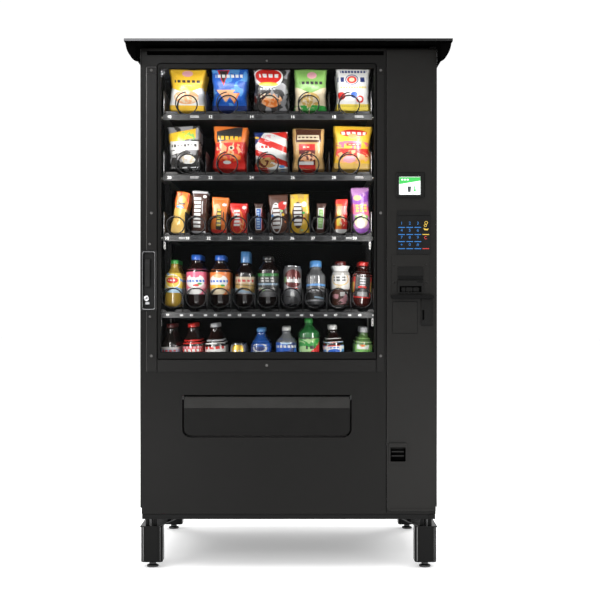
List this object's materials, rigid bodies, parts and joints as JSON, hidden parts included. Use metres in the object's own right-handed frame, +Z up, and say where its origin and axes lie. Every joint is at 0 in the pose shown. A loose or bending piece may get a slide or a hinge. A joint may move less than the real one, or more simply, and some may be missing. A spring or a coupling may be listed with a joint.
{
  "type": "snack vending machine",
  "caption": "Tall glass-front vending machine on legs: hinged door with money column, delivery flap, coil trays and a rain canopy.",
  "frame": {"origin": "middle of the footprint at floor level", "axes": "+Z up, +Y to the back, +X to the right seen from the front"},
  "size_m": [1.128, 0.994, 1.844],
  "materials": {
    "cabinet_steel": "dark warm-grey powder coat, satin",
    "base_steel": "black paint, satin",
    "liner_steel": "black liner paint, matt",
    "canopy_steel": "dark grey powder coat, satin",
    "bolt_steel": "zinc plated",
    "machinery_black": "black paint",
    "control_grey": "grey paint",
    "fan_plastic": "moulded",
    "foot_steel": "dark plated steel",
    "door_steel": "near-black powder coat, fine texture",
    "frame_plastic": "fine grain",
    "glass": "clear double glazing",
    "screw_steel": "dark security screws",
    "bezel_plastic": "moulded, fine grain",
    "screen": "lit display",
    "keypad": "sealed membrane",
    "mechanism_plastic": "moulded",
    "bin_plastic": "moulded, satin",
    "chrome_lock": "polished",
    "tray_steel": "dark grey paint",
    "spiral_wire": "dark coated wire",
    "packaging": "printed film"
  },
  "bodies": {
    "cabinet": {"cabinet_left_wall": "cabinet_steel", "cabinet_right_wall": "cabinet_steel", "cabinet_back_panel": "cabinet_steel", "cabinet_top_panel": "cabinet_steel", "cabinet_base_pan": "base_steel", "product_liner": "liner_steel", "rain_canopy": "canopy_steel", "canopy_side_fairings": "canopy_steel", "leg_posts": "base_steel", "leg_plates": "base_steel", "leg_bolts": "bolt_steel", "tray_runners": "bolt_steel", "compressor": "machinery_black", "condenser_coil": "machinery_black", "control_box": "control_grey", "rear_grille": "base_steel", "hinge_brackets": "base_steel"},
    "door": {"door_shell": "door_steel", "door_inner_panel": "liner_steel", "window_frame": "frame_plastic", "window_pane": "glass", "window_trims": "frame_plastic", "tamper_screws": "screw_steel", "column_panel": "door_steel", "screen_bezel": "bezel_plastic", "screen_panel": "screen", "keypad_plate": "keypad", "validator_bezel": "bezel_plastic", "bill_validator": "mechanism_plastic", "rain_ledge": "bezel_plastic", "card_reader_blank": "bezel_plastic", "coin_slot_plate": "bezel_plastic", "coin_mechanism": "mechanism_plastic", "coin_return_cup": "bezel_plastic", "delivery_bin": "bin_plastic", "handle_housing": "frame_plastic"},
    "lever": {"handle_lever": "frame_plastic"},
    "lock": {"lock_cylinder": "chrome_lock"},
    "bolt": {"latch_bolt": "bolt_steel"},
    "delivery_door": {"delivery_flap": "bin_plastic"},
    "coin_door": {"coin_return_flap": "bezel_plastic"},
    "fan": {"condenser_fan": "fan_plastic"},
    "foot_front_left": {"foot_front_left": "foot_steel"},
    "foot_front_right": {"foot_front_right": "foot_steel"},
    "foot_rear_left": {"foot_rear_left": "foot_steel"},
    "foot_rear_right": {"foot_rear_right": "foot_steel"},
    "tray_1": {"tray_1": "tray_steel", "spirals_1": "spiral_wire"},
    "tray_2": {"tray_2": "tray_steel", "spirals_2": "spiral_wire"},
    "tray_3": {"tray_3": "tray_steel", "spirals_3": "spiral_wire"},
    "tray_4": {"tray_4": "tray_steel", "spirals_4": "spiral_wire"},
    "tray_5": {"tray_5": "tray_steel", "spirals_5": "spiral_wire"},
    "bag_coil": {"bag_spiral": "spiral_wire"},
    "bags": {"bag_stock": "packaging"},
    "bar_coil": {"bar_spiral": "spiral_wire"},
    "bars": {"bar_stock": "packaging"}
  },
  "joints": [
    {"name": "door_hinge", "type": "hinge", "parent": "cabinet", "child": "door", "pos_m": [0.51, -0.383, 1], "axis": [0, 0, 1], "range_deg": [0, 90]},
    {"name": "handle_pull", "type": "hinge", "parent": "door", "child": "lever", "pos_m": [-0.49525, -0.388, 1.088], "axis": [-1, 0, 0], "range_deg": [0, 45], "stiffness_Nm_per_rad": 0.05, "springref_deg": -28.65},
    {"name": "lock_turn", "type": "hinge", "parent": "door", "child": "lock", "pos_m": [-0.499, -0.386, 0.953], "axis": [0, -1, 0], "range_deg": [0, 90]},
    {"name": "latch_slide", "type": "slide", "parent": "door", "child": "bolt", "axis": [-1, 0, 0], "range_m": [0, 0.012]},
    {"name": "delivery_flap_swing", "type": "hinge", "parent": "door", "child": "delivery_door", "pos_m": [-0.07595, -0.384, 0.603], "axis": [1, 0, 0], "range_deg": [0, 60], "stiffness_Nm_per_rad": 0.1, "springref_deg": -22.92},
    {"name": "coin_flap_swing", "type": "hinge", "parent": "door", "child": "coin_door", "pos_m": [0.3835, -0.386, 0.425], "axis": [1, 0, 0], "range_deg": [0, 50], "stiffness_Nm_per_rad": 0.002, "springref_deg": -28.65},
    {"name": "fan_spin", "type": "hinge", "parent": "cabinet", "child": "fan", "pos_m": [0.14, 0.238, 0.312], "axis": [0, 1, 0], "continuous": true},
    {"name": "foot_front_left_screw", "type": "slide", "parent": "cabinet", "child": "foot_front_left", "axis": [0, 0, -1], "range_m": [0, 0.025]},
    {"name": "foot_front_right_screw", "type": "slide", "parent": "cabinet", "child": "foot_front_right", "axis": [0, 0, -1], "range_m": [0, 0.025]},
    {"name": "foot_rear_left_screw", "type": "slide", "parent": "cabinet", "child": "foot_rear_left", "axis": [0, 0, -1], "range_m": [0, 0.025]},
    {"name": "foot_rear_right_screw", "type": "slide", "parent": "cabinet", "child": "foot_rear_right", "axis": [0, 0, -1], "range_m": [0, 0.025]},
    {"name": "tray_1_slide", "type": "slide", "parent": "cabinet", "child": "tray_1", "axis": [0, -1, 0], "range_m": [0, 0.05]},
    {"name": "tray_2_slide", "type": "slide", "parent": "cabinet", "child": "tray_2", "axis": [0, -1, 0], "range_m": [0, 0.05]},
    {"name": "tray_3_slide", "type": "slide", "parent": "cabinet", "child": "tray_3", "axis": [0, -1, 0], "range_m": [0, 0.05]},
    {"name": "tray_4_slide", "type": "slide", "parent": "cabinet", "child": "tray_4", "axis": [0, -1, 0], "range_m": [0, 0.05]},
    {"name": "tray_5_slide", "type": "slide", "parent": "cabinet", "child": "tray_5", "axis": [0, -1, 0], "range_m": [0, 0.05]},
    {"name": "bag_coil_turn", "type": "hinge", "parent": "tray_2", "child": "bag_coil", "pos_m": [0.0715, 0.04, 1.4465], "axis": [0, -1, 0], "range_deg": [0, 360]},
    {"name": "bag_feed", "type": "slide", "parent": "tray_2", "child": "bags", "axis": [0, -1, 0], "range_m": [0, 0.07]},
    {"name": "bar_coil_turn", "type": "hinge", "parent": "tray_3", "child": "bar_coil", "pos_m": [-0.1128, 0.04, 1.22], "axis": [0, -1, 0], "range_deg": [0, 360]},
    {"name": "bar_feed", "type": "slide", "parent": "tray_3", "child": "bars", "axis": [0, -1, 0], "range_m": [0, 0.056]}
  ],
  "couplings": [
    {"joint": "latch_slide", "follows": "lock_turn", "m_per_rad": 0.007639},
    {"joint": "bag_feed", "follows": "bag_coil_turn", "m_per_rad": 0.01114},
    {"joint": "bar_feed", "follows": "bar_coil_turn", "m_per_rad": 0.008912}
  ]
}
